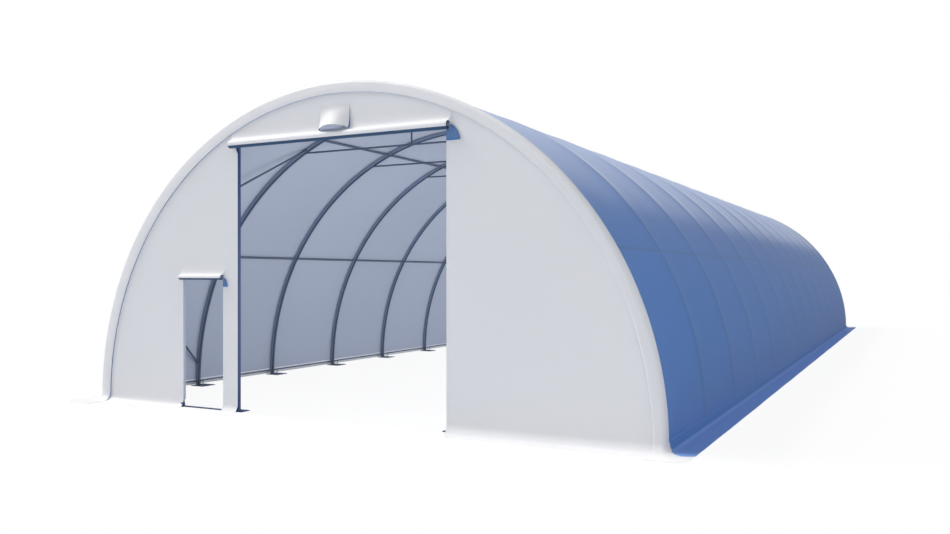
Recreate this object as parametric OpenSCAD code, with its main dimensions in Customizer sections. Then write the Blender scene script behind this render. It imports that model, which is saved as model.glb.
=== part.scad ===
// Fabric storage shelter. A row of half-round steel arches carries a blue cover
// that runs over the building from ground to ground. Each end is a white fabric
// gable inside a white end band. The front gable has a large and a small doorway
// whose curtains are rolled up above them, and a hooded vent under the crown.
// The ground shows inside: there is no built floor.
// +Z is up, +Y runs from the front gable to the rear one, +X is to the right
// of someone who looks in, and the origin is on the ground in the middle.

/* [Building] */
// Width between the outer faces of the end bands at the feet of the arches
span = 9150; // [8800:10:12000]
// Number of bays between the arches
bay_count = 13; // [3:1:16]
// Distance from one arch centre to the next
bay_length = 2000; // [1600:10:2500]
// Straight leg under the half circle of each arch
leg_h = 50; // [40:5:300]

/* [Arches] */
// Depth of the arch tube, towards the middle of the building
arch_tube_d = 75; // [60:1:90]
// Width of the arch tube, along the building
arch_tube_w = 55; // [40:1:80]
// Corner radius of the arch tube
arch_tube_r = 16; // [8:1:18]
// Wall of every steel tube
tube_wall = 2.5; // [1.5:0.5:4]
// Pieces of tube bolted end to end in one arch
arch_pieces = 8; // [6:2:12]
// Side of the square base plate under each arch foot
plate_w = 300; // [220:5:340]
// Thickness of the base plates
plate_t = 10; // [5:1:16]
// Bolt holes in the base plates
plate_hole_d = 18; // [10:1:24]
// Distance from the edges of a base plate to its bolt holes
plate_hole_edge = 45; // [30:1:60]

/* [Ties and purlins] */
// Height of the collar ties under the crown of the arches' centre line
tie_drop = 537; // [400:1:700]
// Diameter of the collar ties and king posts
tie_d = 30; // [20:1:45]
// Diameter of the purlins
purlin_d = 40; // [30:1:42]
// Angle of the side purlins above the springing of the arches
side_purlin_angle = 30; // [26:0.5:33]
// Angle of the upper purlins above the springing of the arches
upper_purlin_angle = 67.5; // [66:0.5:75]
// Diameter of the base rails
base_rail_d = 25; // [16:1:30]
// Height of the base rails' centre line
base_rail_z = 80; // [60:1:120]
// Diameter of the wind braces
brace_d = 32; // [20:1:36]
// Angle on the end arch where the upper wind brace starts
upper_brace_start = 33; // [32:0.5:38]
// Angle on the next arch where the upper wind brace ends
upper_brace_end = 63; // [56:0.5:64]
// Angle on the end arch where the lower wind brace starts
lower_brace_start = 27; // [22:0.5:28]
// Angle on the next arch where the lower wind brace ends
lower_brace_end = 4.5; // [4:0.5:12]

/* [Fabric] */
// Thickness of the coated fabric
sheet_t = 4; // [3:0.5:6]
// Bend radius where the fabric turns out onto the ground
bend_r = 110; // [80:1:150]
// Reach of the long sides' ground flaps from the wall
side_flap = 330; // [200:5:400]
// Reach of the gables' ground flaps from the wall
gable_flap = 300; // [200:5:400]
// Reach of an end band's ground flap from the front face
band_flap = 420; // [340:5:450]
// Corner radius of an end band's ground flap
band_flap_r = 200; // [100:5:260]
// Clearance between neighbouring pieces
fit_gap = 0.3; // [0.2:0.1:0.6]

/* [End bands] */
// Width of an end band on the face of its gable
band_w = 188; // [120:1:240]
// Length of an end band along the side of the building
band_wrap = 165; // [90:1:200]
// Radius of the rounded outer edge of an end band
band_edge_r = 50; // [40:1:60]
// How far a gable sheet lies behind the face of its end band
gable_setback = 25; // [20:1:36]

/* [Large doorway] */
// Clear width of the large doorway
large_door_w = 3476; // [2500:2:3900]
// How far the large doorway's middle is to the right of the building's
large_door_shift = 30; // [-60:1:60]
// Height of the large doorway
large_door_h = 3885; // [3400:5:3950]
// Diameter of the large rolled-up curtain
large_roll_d = 120; // [90:1:150]
// How far the large roll runs past the doorway's left edge
large_roll_left = 90; // [20:1:120]
// How far the large roll runs past the doorway's right edge
large_roll_right = 52; // [20:1:120]
// Side of the square tube of the door posts
door_post_w = 60; // [40:1:70]
// How far the door posts show past the edge of the fabric
door_post_show = 4; // [0:1:10]

/* [Small doorway] */
// Clear width of the small doorway
small_door_w = 795; // [700:5:900]
// Height of the small doorway
small_door_h = 1960; // [1800:5:2200]
// Width of the fabric between the two doorways
pillar_w = 280; // [220:1:320]
// Diameter of the small rolled-up curtain
small_roll_d = 80; // [60:1:90]
// How far the small roll runs past the doorway's left edge
small_roll_left = 32; // [5:1:60]
// How far the small roll runs past the doorway's right edge
small_roll_right = 10; // [5:1:60]
// Side of the square tube round the small doorway
small_post_w = 40; // [30:1:45]
// Diameter of the bar on the ground across the small doorway
ground_bar_d = 22; // [16:1:30]

/* [Curtains] */
// Diameter of the tube inside each rolled-up curtain
roll_tube_d = 34; // [24:1:40]
// Turns of fabric round the tube of each roll
roll_turns = 3; // [2:1:3]
// Angle round each roll where the sheet from the gable meets it
curtain_lead_angle = 105; // [95:1:115]
// Radius of the large doorway's corner flap
large_corner_r = 205; // [120:5:240]
// Radius of the small doorway's corner flap
small_corner_r = 140; // [80:5:180]
// Width that shows of the small doorway's corner flap
small_corner_w = 100; // [60:5:140]

/* [Vent] */
// Width of the vent hood
vent_w = 500; // [360:5:600]
// Height of the vent hood
vent_h = 335; // [260:5:360]
// Height of the hood's lower edge above the sheet that leads to the large roll
vent_rise = 7; // [5:1:30]
// How far the lower edge of the hood bows out
vent_bulge = 120; // [60:1:160]
// Border between the hood's edges and the window behind it
vent_border = 45; // [30:1:80]

/* [Hidden] */

$fn = 96;

// Radii of the half circles, from the outside in
edge_r = span / 2;
cover_r = edge_r - sheet_t - fit_gap;
arch_outer_r = cover_r - sheet_t - fit_gap;
arch_r = arch_outer_r - arch_tube_d / 2;
arch_inner_r = arch_outer_r - arch_tube_d;
gable_r = arch_outer_r - 12;

// Stations along the building, from the front face of the front end band
gable_y = gable_setback;
first_arch_y = gable_setback + sheet_t + fit_gap + arch_tube_w / 2;
length = bay_count * bay_length + 2 * first_arch_y;
arch_back_y = first_arch_y + arch_tube_w / 2 + fit_gap;
last_arch = bay_count;

// Heights
flap_top = bend_r + sheet_t;
wall_z = flap_top + fit_gap;
tie_z = leg_h + arch_r - tie_drop;

// Angles where the curved walls start above the ground flaps
foot_angle = asin((wall_z - leg_h) / cover_r);
piece_angle = 180 / arch_pieces;
joint_angle = fit_gap / arch_inner_r * 90 / PI;

// Edges of the doorways
large_left = large_door_shift - large_door_w / 2;
large_right = large_door_shift + large_door_w / 2;
small_right = large_left - pillar_w;
small_left = small_right - small_door_w;
vent_z = large_door_h + lead_top(large_roll_d) + vent_rise;

// Height over a roll's centre line where its sheet meets the gable
function lead_top(roll_d) = roll_d / 2 * tan(curtain_lead_angle / 2);

// Steel and fabric colours
steel_colour = "#64738C";
white_colour = "#D6D8DE";
blue_colour = "#4F73AB";

// ---------------------------------------------------------------- helpers

// Moves things drawn from the front face to their place about the origin.
module from_front() {
    translate([0, -length / 2, 0]) children();
}

// The same from the rear face, turned round so that left stays left when seen
// from inside the building.
module from_rear() {
    rotate([0, 0, 180]) from_front() children();
}

module both_ends() {
    from_front() children();
    from_rear() children();
}

module both_sides() {
    children();
    mirror([1, 0, 0]) children();
}

// Revolves a section about the arches' axis: section x is the radius and
// section y runs along the building. Angles go up from the right-hand springing.
module arched(start, end) {
    translate([0, 0, leg_h])
        rotate([90, 0, 0])
            mirror([0, 0, 1])
                rotate([0, 0, start])
                    rotate_extrude(angle = end - start, $fn = 192)
                        children();
}

// Half-round slab across the building, used to trim what stands under an arch.
module half_round(radius, y_start, thickness) {
    translate([0, y_start + thickness, leg_h])
        rotate([90, 0, 0])
            cylinder(h = thickness, r = radius, $fn = 256);
}

module rounded_square(size_x, size_y, corner) {
    for (sx = [-1, 1])
        for (sy = [-1, 1])
            translate([sx * (size_x / 2 - corner), sy * (size_y / 2 - corner)])
                circle(r = corner, $fn = 32);
    square([size_x - 2 * corner, size_y], center = true);
    square([size_x, size_y - 2 * corner], center = true);
}

module tube_section(size_x, size_y, corner) {
    difference() {
        rounded_square(size_x, size_y, corner);
        rounded_square(size_x - 2 * tube_wall, size_y - 2 * tube_wall, corner - tube_wall);
    }
}

module round_tube(diameter, len) {
    difference() {
        cylinder(h = len, d = diameter, $fn = 32);
        translate([0, 0, -1])
            cylinder(h = len + 2, d = diameter - 2 * tube_wall, $fn = 32);
    }
}

// Place on the arches' centre line at an angle above the right-hand springing.
function on_arch(angle, y) = [arch_r * cos(angle), y, leg_h + arch_r * sin(angle)];

function arch_y(index) = first_arch_y + index * bay_length;

// ---------------------------------------------------------------- steel frame

// One arch: tube pieces joined end to end, the lowest ones with straight legs.
module arch(index) {
    half = arch_pieces / 2;
    color(steel_colour)
        from_front()
            translate([0, arch_y(index), 0])
                both_sides() {
                    for (i = [0 : half - 1])
                        arched(i * piece_angle + (i == 0 ? 0 : joint_angle),
                               (i + 1) * piece_angle - joint_angle)
                            translate([arch_r, 0])
                                tube_section(arch_tube_d, arch_tube_w, arch_tube_r);
                    translate([arch_r, 0, plate_t + fit_gap])
                        linear_extrude(leg_h - plate_t - fit_gap)
                            tube_section(arch_tube_d, arch_tube_w, arch_tube_r);
                }
}

// A plate with a bolt hole in each corner, lying on the ground.
module base_plate(size_x, size_y) {
    difference() {
        translate([-size_x / 2, -size_y / 2, 0])
            cube([size_x, size_y, plate_t]);
        for (sx = [-1, 1])
            for (sy = [-1, 1])
                translate([sx * (size_x / 2 - plate_hole_edge),
                           sy * (size_y / 2 - plate_hole_edge), -1])
                    cylinder(h = plate_t + 2, d = plate_hole_d, $fn = 32);
    }
}

// The arch stands on the outer edge of its plate, so that the plate stays clear
// of the bend in the cover. The end arches' plates keep behind the gable sheet.
module base_plates() {
    plate_x = arch_outer_r - plate_w / 2;
    inset = (plate_w - arch_tube_w) / 2;
    color(steel_colour)
        from_front()
            for (index = [0 : last_arch])
                both_sides()
                    translate([plate_x, arch_y(index) + plate_shift(index) * inset, 0])
                        base_plate(plate_w, plate_w);
}

// End plates move inwards, the others are centred on their arch.
function plate_shift(index) = index == 0 ? 1 : index == last_arch ? -1 : 0;

// Level tubes across the arches under the crown, mitred where they meet the arch.
module collar_ties() {
    meeting_angle = asin((tie_z - leg_h) / arch_inner_r);
    color(steel_colour)
        from_front()
            for (index = [1 : last_arch - 1])
                translate([0, arch_y(index), 0])
                    difference() {
                        translate([-edge_r, 0, tie_z])
                            rotate([0, 90, 0])
                                round_tube(tie_d, 2 * edge_r);
                        both_sides()
                            translate([0, 0, leg_h])
                                rotate([0, -meeting_angle, 0])
                                    translate([arch_inner_r - fit_gap, -tie_d, -edge_r])
                                        cube([edge_r, 2 * tie_d, 2 * edge_r]);
                    }
}

// Upright from a saddle on the middle of each tie to the crown of its arch.
module king_posts() {
    top_z = leg_h + arch_inner_r - fit_gap;
    color(steel_colour)
        from_front()
            for (index = [1 : last_arch - 1])
                translate([0, arch_y(index), tie_z])
                    difference() {
                        round_tube(tie_d, top_z - tie_z);
                        translate([-tie_d, 0, 0])
                            rotate([0, 90, 0])
                                cylinder(h = 2 * tie_d, d = tie_d + 2 * fit_gap, $fn = 32);
                    }
}

// One tube between each pair of arches.
module purlin_row(angle, diameter) {
    start = arch_tube_w / 2 + fit_gap;
    for (index = [0 : bay_count - 1])
        translate(on_arch(angle, arch_y(index) + start))
            rotate([-90, 0, 0])
                round_tube(diameter, bay_length - 2 * start);
}

module side_purlins() {
    color(steel_colour)
        from_front()
            both_sides()
                purlin_row(side_purlin_angle, purlin_d);
}

module upper_purlins() {
    color(steel_colour)
        from_front()
            both_sides()
                purlin_row(upper_purlin_angle, purlin_d);
}

module base_rails() {
    color(steel_colour)
        from_front()
            both_sides()
                purlin_row(asin((base_rail_z - leg_h) / arch_r), base_rail_d);
}

// Straight tube from the back of an end arch to the next one.
module wind_brace(start_angle, end_angle) {
    y_start = arch_back_y;
    y_end = arch_y(1) - arch_tube_w / 2 - fit_gap;
    from = on_arch(start_angle, y_start);
    to = on_arch(end_angle, y_end);
    run = to - from;
    flat = norm([run[0], run[1]]);
    spare = brace_d;
    intersection() {
        translate(from)
            rotate([0, 90 - atan2(run[2], flat), atan2(run[1], run[0])])
                translate([0, 0, -spare])
                    round_tube(brace_d, norm(run) + 2 * spare);
        translate([0, y_start, 0])
            cube([edge_r, y_end - y_start, 2 * edge_r]);
    }
}

module wind_braces() {
    color(steel_colour)
        both_ends()
            both_sides() {
                wind_brace(upper_brace_start, upper_brace_end);
                wind_brace(lower_brace_start, lower_brace_end);
            }
}

// Square post from its plate up to the end arch.
module gable_post(centre_x, width) {
    intersection() {
        translate([centre_x, gable_y + sheet_t + fit_gap + width / 2, plate_t + fit_gap])
            linear_extrude(edge_r)
                tube_section(width, width, width / 8);
        half_round(arch_inner_r - fit_gap, 0, 2 * width + gable_y);
    }
    translate([centre_x, gable_y + sheet_t + fit_gap + width * 1.5, 0])
        base_plate(width * 3, width * 3);
}

module door_posts() {
    reach = door_post_w / 2 - door_post_show;
    color(steel_colour)
        from_front() {
            gable_post(large_left - reach, door_post_w);
            gable_post(large_right + reach, door_post_w);
        }
}

module rear_gable_posts() {
    color(steel_colour)
        from_rear()
            both_sides()
                gable_post((large_door_w + door_post_w) / 2, door_post_w);
}

// Two uprights and a head round the small doorway, behind the fabric.
module small_door_frame() {
    post_y = gable_y + sheet_t + fit_gap + small_post_w / 2;
    head_z = small_door_h + small_post_w;
    color(steel_colour)
        from_front() {
            for (x = [small_left - small_post_w, small_right + small_post_w])
                translate([x, post_y, 0])
                    linear_extrude(head_z)
                        tube_section(small_post_w, small_post_w, small_post_w / 8);
            translate([small_left - small_post_w / 2 + fit_gap, post_y, head_z - small_post_w / 2])
                rotate([0, 90, 0])
                    linear_extrude(small_door_w + small_post_w - 2 * fit_gap)
                        tube_section(small_post_w, small_post_w, small_post_w / 8);
        }
}

// Bar on the ground that keeps the small doorway's uprights apart.
module ground_bar() {
    post_y = gable_y + sheet_t + fit_gap + small_post_w / 2;
    color(steel_colour)
        from_front()
            translate([small_left - small_post_w / 2 + fit_gap, post_y, ground_bar_d / 2])
                rotate([0, 90, 0])
                    round_tube(ground_bar_d, small_door_w + small_post_w - 2 * fit_gap);
}

// ---------------------------------------------------------------- cover

// A strip of the cover between two angles, in pieces half as wide as an arch piece.
module cover_strip(start, end) {
    y_start = band_edge_r;
    step = piece_angle / 2;
    for (a = [start : step : end - step])
        arched((a == 0 ? foot_angle : a + joint_angle), a + step - joint_angle)
            translate([cover_r - sheet_t, y_start])
                square([sheet_t, length - 2 * y_start]);
}

module right_side_cover() {
    color(blue_colour) from_front() cover_strip(0, 2 * piece_angle);
}

module right_roof_cover() {
    color(blue_colour) from_front() cover_strip(2 * piece_angle, 90);
}

module left_side_cover() {
    color(blue_colour) mirror([1, 0, 0]) from_front() cover_strip(0, 2 * piece_angle);
}

module left_roof_cover() {
    color(blue_colour) mirror([1, 0, 0]) from_front() cover_strip(2 * piece_angle, 90);
}

// Section of a ground flap. The wall's outer face is at x = 0 and the flap
// bends outwards to lie flat on the ground.
module flap_section(reach) {
    intersection() {
        translate([bend_r, flap_top])
            difference() {
                circle(r = bend_r + sheet_t);
                circle(r = bend_r);
            }
        translate([-sheet_t, 0])
            square([bend_r + sheet_t, flap_top]);
    }
    translate([bend_r, 0])
        square([reach - bend_r, sheet_t]);
}

module side_ground_flap() {
    y_start = band_wrap + fit_gap;
    from_front()
        translate([cover_r, length - y_start, 0])
            rotate([90, 0, 0])
                linear_extrude(length - 2 * y_start)
                    flap_section(side_flap);
}

module right_ground_flap() {
    color(blue_colour) side_ground_flap();
}

module left_ground_flap() {
    color(blue_colour) mirror([1, 0, 0]) side_ground_flap();
}

// ---------------------------------------------------------------- end bands

// Section of an end band: a face, a rounded edge and a return along the side.
module band_section() {
    translate([edge_r - band_w, 0])
        square([band_w - band_edge_r, sheet_t]);
    translate([edge_r - band_edge_r, band_edge_r])
        intersection() {
            difference() {
                circle(r = band_edge_r);
                circle(r = band_edge_r - sheet_t);
            }
            translate([0, -band_edge_r])
                square(band_edge_r);
        }
    translate([edge_r - sheet_t, band_edge_r])
        square([sheet_t, band_wrap - band_edge_r]);
}

// Front edge of an end band's ground flap, where it reaches further from the
// wall than at the side.
module band_fan() {
    corner_x = edge_r - band_edge_r;
    inner_x = edge_r - band_w;
    outer_x = edge_r + side_flap;
    kept = side_flap - 10;
    linear_extrude(sheet_t)
        difference() {
            union() {
                translate([inner_x, -band_flap])
                    square([outer_x - band_flap_r - inner_x, band_flap + band_edge_r]);
                translate([inner_x, band_flap_r - band_flap])
                    square([outer_x - inner_x, band_flap - band_flap_r + band_edge_r]);
                translate([outer_x - band_flap_r, band_flap_r - band_flap])
                    circle(r = band_flap_r, $fn = 96);
            }
            translate([inner_x - 1, -kept])
                square([corner_x - inner_x + 1, kept + 2 * band_edge_r]);
            translate([corner_x, band_edge_r])
                circle(r = band_edge_r + kept, $fn = 96);
        }
}

// Foot of an end band: its ground flap runs round the corner in a fan.
module band_foot() {
    corner_x = edge_r - band_edge_r;
    translate([corner_x, band_edge_r, 0])
        rotate([0, 0, -90])
            rotate_extrude(angle = 90)
                translate([band_edge_r, 0])
                    flap_section(side_flap);
    translate([edge_r - band_w, 0, 0])
        rotate([90, 0, 90])
            linear_extrude(band_w - band_edge_r)
                mirror([1, 0])
                    flap_section(side_flap);
    translate([edge_r, band_wrap, 0])
        rotate([90, 0, 0])
            linear_extrude(band_wrap - band_edge_r)
                flap_section(side_flap);
    band_fan();
}

module end_band() {
    foot = asin((wall_z - leg_h) / (edge_r - band_w));
    for (i = [0 : arch_pieces - 1])
        arched(i == 0 ? foot : i * piece_angle + joint_angle,
               i == arch_pieces - 1 ? 180 - foot : (i + 1) * piece_angle - joint_angle)
            band_section();
    both_sides() band_foot();
}

module front_end_band() {
    color(white_colour) from_front() end_band();
}

module rear_end_band() {
    color(white_colour) from_rear() end_band();
}

// ---------------------------------------------------------------- gables

// Part of the gable sheet between two widths and two heights.
module gable_panel(left, right, bottom, top) {
    intersection() {
        half_round(gable_r, gable_y, sheet_t);
        translate([left, gable_y - 1, bottom])
            cube([right - left, sheet_t + 2, top - bottom]);
    }
}

module front_gable_left() {
    color(white_colour)
        from_front()
            gable_panel(-edge_r, small_left, wall_z, 2 * edge_r);
}

module front_gable_over_door() {
    color(white_colour)
        from_front()
            gable_panel(small_left + fit_gap, small_right, small_door_h, 2 * edge_r);
}

module front_gable_pillar() {
    color(white_colour)
        from_front()
            gable_panel(small_right + fit_gap, large_left, wall_z, 2 * edge_r);
}

module front_gable_right() {
    color(white_colour)
        from_front()
            gable_panel(large_right, edge_r, wall_z, 2 * edge_r);
}

// Over the large doorway, in four pieces round the vent's window.
module front_gable_top() {
    window_x = vent_w / 2 - vent_border;
    window_bottom = vent_z + vent_border;
    window_top = vent_z + vent_h - vent_border;
    color(white_colour)
        from_front() {
            gable_panel(large_left + fit_gap, -window_x, large_door_h, 2 * edge_r);
            gable_panel(window_x, large_right - fit_gap, large_door_h, 2 * edge_r);
            gable_panel(-window_x + fit_gap, window_x - fit_gap, large_door_h, window_bottom);
            gable_panel(-window_x + fit_gap, window_x - fit_gap, window_top, 2 * edge_r);
        }
}

// Ground flap of a gable sheet between two widths.
module gable_ground_flap(left, right) {
    translate([left, gable_y, 0])
        rotate([90, 0, 90])
            linear_extrude(right - left)
                mirror([1, 0])
                    flap_section(gable_flap);
}

module front_ground_flaps() {
    inner = edge_r - band_w - fit_gap;
    color(white_colour)
        from_front() {
            gable_ground_flap(-inner, small_left);
            gable_ground_flap(small_right, large_left);
            gable_ground_flap(large_right, inner);
        }
}

module rear_gable() {
    color(white_colour)
        from_rear()
            gable_panel(-edge_r, edge_r, wall_z, 2 * edge_r);
}

module rear_ground_flap() {
    inner = edge_r - band_w - fit_gap;
    color(white_colour)
        from_rear()
            gable_ground_flap(-inner, inner);
}

// ---------------------------------------------------------------- curtains

// Section of a curtain wound on its tube as an even spiral. The gable is on the
// right: the sheet leaves it at a slope, runs over the top of the roll to the
// front, and winds inwards from there.
module spiral_section(outer_d) {
    inner = roll_tube_d / 2 + fit_gap;
    outer = outer_d / 2 - sheet_t;
    steps = 28 * roll_turns;
    turn = 360 * roll_turns;
    function place(radius, angle) = radius * [cos(angle), sin(angle)];
    function ring(offset) = [
        for (i = [0 : steps])
            place(inner + offset + (outer - inner) * i / steps,
                  curtain_lead_angle + turn * (1 - i / steps))
    ];
    inside = ring(0);
    outside = ring(sheet_t);
    polygon(concat(inside, [for (i = [steps : -1 : 0]) outside[i]]));
    // Sloping lead from the gable to the roll
    intersection() {
        rotate(curtain_lead_angle)
            translate([outer, -outer_d * 2])
                square([sheet_t, outer_d * 2 + fit_gap]);
        translate([-outer_d, 0])
            square([outer_d * 1.5, outer_d * 2]);
    }
}

module curtain_roll(left, right, height, roll_d) {
    translate([left, gable_y - roll_d / 2 - fit_gap, height])
        rotate([90, 0, 90])
            linear_extrude(right - left)
                spiral_section(roll_d);
}

module large_curtain() {
    color(white_colour)
        from_front()
            curtain_roll(large_left - large_roll_left, large_right + large_roll_right,
                         large_door_h, large_roll_d);
}

module small_curtain() {
    color(white_colour)
        from_front()
            curtain_roll(small_left - small_roll_left, small_right + small_roll_right,
                         small_door_h, small_roll_d);
}

module roll_tube(left, right, height, roll_d) {
    translate([left, gable_y - roll_d / 2 - fit_gap, height])
        rotate([0, 90, 0])
            round_tube(roll_tube_d, right - left);
}

module curtain_tubes() {
    color(steel_colour)
        from_front() {
            roll_tube(large_left - large_roll_left, large_right + large_roll_right,
                      large_door_h, large_roll_d);
            roll_tube(small_left - small_roll_left, small_right + small_roll_right,
                      small_door_h, small_roll_d);
        }
}

// Quarter-round flap turned out from the upper right corner of a doorway, with
// its round edge cut away where the end of the roll lies over it.
module corner_flap(left, height, radius, width, roll_end, roll_d) {
    difference() {
        translate([left, gable_y - fit_gap, height - radius])
            rotate([90, 0, 0])
                intersection() {
                    cylinder(h = sheet_t, r = radius);
                    cube([width, radius, sheet_t]);
                }
        translate([left - 1, gable_y - roll_d, height - roll_d / 2 - fit_gap])
            cube([roll_end - left + 1 + fit_gap, roll_d, roll_d]);
    }
}

module curtain_corner_flaps() {
    color(blue_colour)
        from_front() {
            corner_flap(large_right, large_door_h, large_corner_r, large_corner_r,
                        large_right + large_roll_right, large_roll_d);
            corner_flap(small_right, small_door_h, small_corner_r, small_corner_w,
                        small_right + small_roll_right, small_roll_d);
        }
}

// ---------------------------------------------------------------- vent hood

// The hood lies flat on the gable at its head and bows out evenly towards its
// open lower edge: each level is a curve that is deepest in the middle.
module vent_hood() {
    across = 16;
    down = 8;
    face_y = gable_y - fit_gap;
    function bow(i, j) = vent_bulge * sin(180 * i / across) * pow(1 - j / down, 1.3);
    function skin(offset) = [
        for (j = [0 : down])
            for (i = [0 : across])
                [vent_w * (i / across - 0.5), face_y - offset - bow(i, j), vent_z + vent_h * j / down]
    ];
    row = across + 1;
    count = row * (down + 1);
    // Corners of one grid square, on the inner skin or shifted to the outer one
    function quad(i, j, shift) = [
        shift + j * row + i,
        shift + j * row + i + 1,
        shift + (j + 1) * row + i + 1,
        shift + (j + 1) * row + i
    ];
    function flip(face) = [face[3], face[2], face[1], face[0]];
    inner_faces = [for (j = [0 : down - 1]) for (i = [0 : across - 1]) quad(i, j, 0)];
    outer_faces = [for (j = [0 : down - 1]) for (i = [0 : across - 1]) flip(quad(i, j, count))];
    rim = concat(
        [for (i = [0 : across]) i],
        [for (j = [1 : down]) j * row + across],
        [for (i = [across - 1 : -1 : 0]) down * row + i],
        [for (j = [down - 1 : -1 : 1]) j * row]
    );
    n = len(rim);
    rim_faces = [for (k = [0 : n - 1])
        [rim[(k + 1) % n], rim[k], rim[k] + count, rim[(k + 1) % n] + count]];
    color(white_colour)
        from_front()
            polyhedron(concat(skin(0), skin(sheet_t)),
                       concat(inner_faces, outer_faces, rim_faces));
}

// ---------------------------------------------------------------- parts

arch(0);  // front_arch
arch(1);  // arch_02
arch(2);  // arch_03
arch(3);  // arch_04
arch(4);  // arch_05
arch(5);  // arch_06
arch(6);  // arch_07
arch(7);  // arch_08
arch(8);  // arch_09
arch(9);  // arch_10
arch(10);  // arch_11
arch(11);  // arch_12
arch(12);  // arch_13
arch(13);  // rear_arch
base_plates();
collar_ties();
king_posts();
side_purlins();
upper_purlins();
base_rails();
wind_braces();
door_posts();
small_door_frame();
ground_bar();
rear_gable_posts();
left_side_cover();
left_roof_cover();
right_roof_cover();
right_side_cover();
left_ground_flap();
right_ground_flap();
front_end_band();
rear_end_band();
front_gable_left();
front_gable_over_door();
front_gable_pillar();
front_gable_top();
front_gable_right();
front_ground_flaps();
rear_gable();
rear_ground_flap();
large_curtain();
small_curtain();
curtain_tubes();
curtain_corner_flaps();
vent_hood();
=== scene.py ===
"""Looks of an arched fabric storage shelter: coated sheets over a powder-coated steel frame."""
import math

import bmesh
import bpy
from mathutils import Matrix, Vector


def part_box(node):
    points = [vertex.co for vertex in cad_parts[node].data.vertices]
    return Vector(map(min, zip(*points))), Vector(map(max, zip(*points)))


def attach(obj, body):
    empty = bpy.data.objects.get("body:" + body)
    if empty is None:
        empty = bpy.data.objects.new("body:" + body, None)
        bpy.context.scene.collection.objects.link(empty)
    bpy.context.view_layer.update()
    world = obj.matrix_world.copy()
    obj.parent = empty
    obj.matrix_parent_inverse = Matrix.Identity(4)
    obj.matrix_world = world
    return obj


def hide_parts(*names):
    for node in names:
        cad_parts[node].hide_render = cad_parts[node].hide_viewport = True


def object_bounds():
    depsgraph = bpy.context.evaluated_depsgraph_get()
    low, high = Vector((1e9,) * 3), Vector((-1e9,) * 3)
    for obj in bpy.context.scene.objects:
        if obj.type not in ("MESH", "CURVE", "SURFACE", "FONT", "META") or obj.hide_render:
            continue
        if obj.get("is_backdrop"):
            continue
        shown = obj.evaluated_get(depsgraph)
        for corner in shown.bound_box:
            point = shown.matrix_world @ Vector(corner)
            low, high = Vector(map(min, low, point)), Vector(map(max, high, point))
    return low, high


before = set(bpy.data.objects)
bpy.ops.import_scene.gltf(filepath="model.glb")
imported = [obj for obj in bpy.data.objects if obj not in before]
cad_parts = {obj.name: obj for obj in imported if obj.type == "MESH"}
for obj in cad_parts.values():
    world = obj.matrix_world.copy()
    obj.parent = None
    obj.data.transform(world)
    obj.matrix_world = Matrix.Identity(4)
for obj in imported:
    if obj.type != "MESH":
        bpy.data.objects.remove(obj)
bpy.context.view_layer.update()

# -------- sizes from the frame

MM = 0.001
# Bend of a ground flap, rounded edge of an end band, thickness of a sheet, and radius of a curtain's tube.
BEND_R = 110 * MM
EDGE_ROUND = 50 * MM
CLOTH = 2 * MM
TUBE_R = 17 * MM
# How far an end band's face stands in front of its gable, and the gap between a roll and the gable.
FACE_STEP = 25 * MM
ROLL_GAP = 0.3 * MM

arch_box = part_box("arch_07")
band_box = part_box("front_end_band")
leg_h = arch_box[1].z - arch_box[1].x
edge_r = band_box[1].z - leg_h
cover_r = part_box("left_roof_cover")[1].z - leg_h
gable_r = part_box("front_gable_right")[1].x
arch_names = ["front_arch"] + [f"arch_{i:02d}" for i in range(2, 14)] + ["rear_arch"]
arch_y = [(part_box(name)[0].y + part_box(name)[1].y) / 2 for name in arch_names]
arch_half_w = (arch_box[1].y - arch_box[0].y) / 2
gable_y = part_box("front_gable_right")[0].y
face_y = gable_y - FACE_STEP
small_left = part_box("front_gable_left")[1].x
small_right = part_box("front_gable_over_door")[1].x
large_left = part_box("front_gable_pillar")[1].x
large_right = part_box("front_gable_right")[0].x
gable_reach = gable_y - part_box("front_ground_flaps")[0].y
band_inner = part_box("front_ground_flaps")[1].x
fan_side = band_box[1].x
fan_front = face_y - band_box[0].y
band_wrap = band_box[1].y - face_y
skirt_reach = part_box("right_ground_flap")[1].x - cover_r
flap_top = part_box("right_ground_flap")[1].z
hood_low, hood_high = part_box("vent_hood")
# The vent's window, cut in the gable a little inside the hood's edges.
window_half = 205 * MM
window_low, window_high = hood_low.z + 17 * MM, hood_high.z - 45 * MM


class Roll:
    """A rolled-up curtain over a doorway: its axis, radius, ends and the doorway's edges. Its rise is how far
    above the roll the gable's sheet begins to run out over it."""

    def __init__(self, node, height, radius, rise, left, right):
        low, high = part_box(node)
        self.z, self.radius, self.rise = height, radius, rise
        self.start, self.end = low.x, high.x
        self.left, self.right = left, right
        self.top = height + radius
        self.y = gable_y - radius - ROLL_GAP


large_roll = Roll("large_curtain", height=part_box("front_gable_top")[0].z, radius=60 * MM, rise=170 * MM,
                  left=large_left, right=large_right)
small_roll = Roll("small_curtain", height=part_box("front_gable_over_door")[0].z, radius=40 * MM, rise=120 * MM,
                  left=small_left, right=small_right)


def add_object(name, data):
    """A new object in the scene."""
    thing = bpy.data.objects.new(name, data)
    bpy.context.scene.collection.objects.link(thing)
    return thing


# -------- camera

# The eye stands ahead of the front gable and to its right, and looks level, turned to the left.
EYE_SIDE, EYE_AHEAD, EYE_HEIGHT = 7.105, 9.482, 1.992
EYE_TURN = 27.41

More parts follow.
